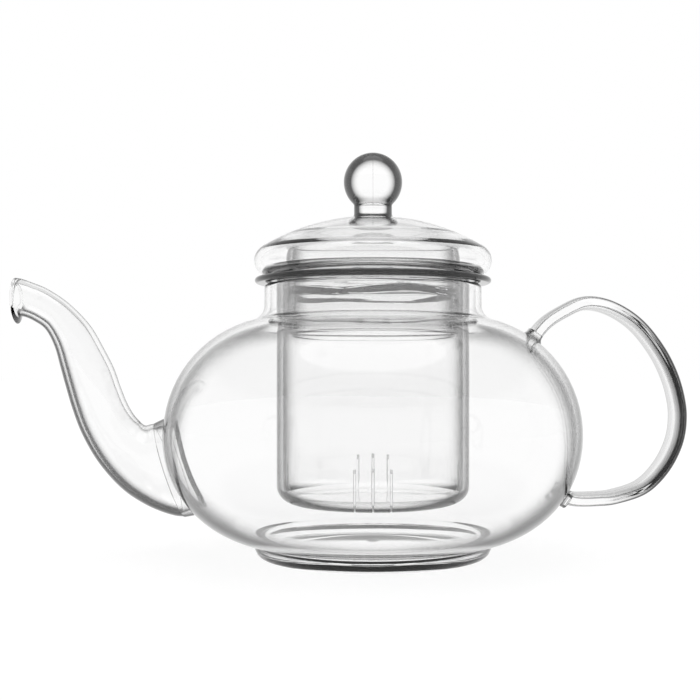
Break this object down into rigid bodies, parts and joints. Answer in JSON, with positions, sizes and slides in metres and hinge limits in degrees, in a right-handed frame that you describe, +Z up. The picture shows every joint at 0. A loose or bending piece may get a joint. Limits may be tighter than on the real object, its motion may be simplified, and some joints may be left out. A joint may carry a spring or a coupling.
{
  "type": "teapot",
  "caption": "Clear glass teapot: a squat blown bulb with a swan-neck spout and a looped handle, a slotted glass infuser that hangs in its neck, and a domed lid with a ball knob.",
  "frame": {"origin": "centre of the flat underside, on the table", "axes": "+Z up the pot's upright axis; +X towards the handle, so the spout points to -X; +Y to the pot's far side when the handle is at the right"},
  "size_m": [0.2229, 0.1378, 0.1338],
  "materials": {
    "pot_glass": "clear blown borosilicate glass, fire-polished",
    "seam_glass": "clear fused glass, slightly uneven",
    "handle_glass": "clear solid drawn glass rod, flame-bent",
    "infuser_glass": "clear glass tube with saw-cut slits",
    "lid_glass": "clear blown glass, fire-polished",
    "knob_glass": "clear solid glass ball"
  },
  "bodies": {
    "pot": {"pot_bulb": "pot_glass", "spout": "pot_glass", "spout_seam": "seam_glass", "handle": "handle_glass", "handle_lower_weld": "seam_glass", "handle_upper_weld": "seam_glass"},
    "infuser": {"infuser_cup": "infuser_glass", "infuser_flange": "infuser_glass"},
    "lid": {"lid_dome": "lid_glass", "lid_plug": "lid_glass", "lid_knob": "knob_glass"}
  },
  "joints": [
    {"name": "infuser_lift", "type": "slide", "parent": "pot", "child": "infuser", "axis": [0, 0, 1], "range_m": [0, 0.09]},
    {"name": "lid_lift", "type": "slide", "parent": "infuser", "child": "lid", "axis": [0, 0, 1], "range_m": [0, 0.06]}
  ]
}
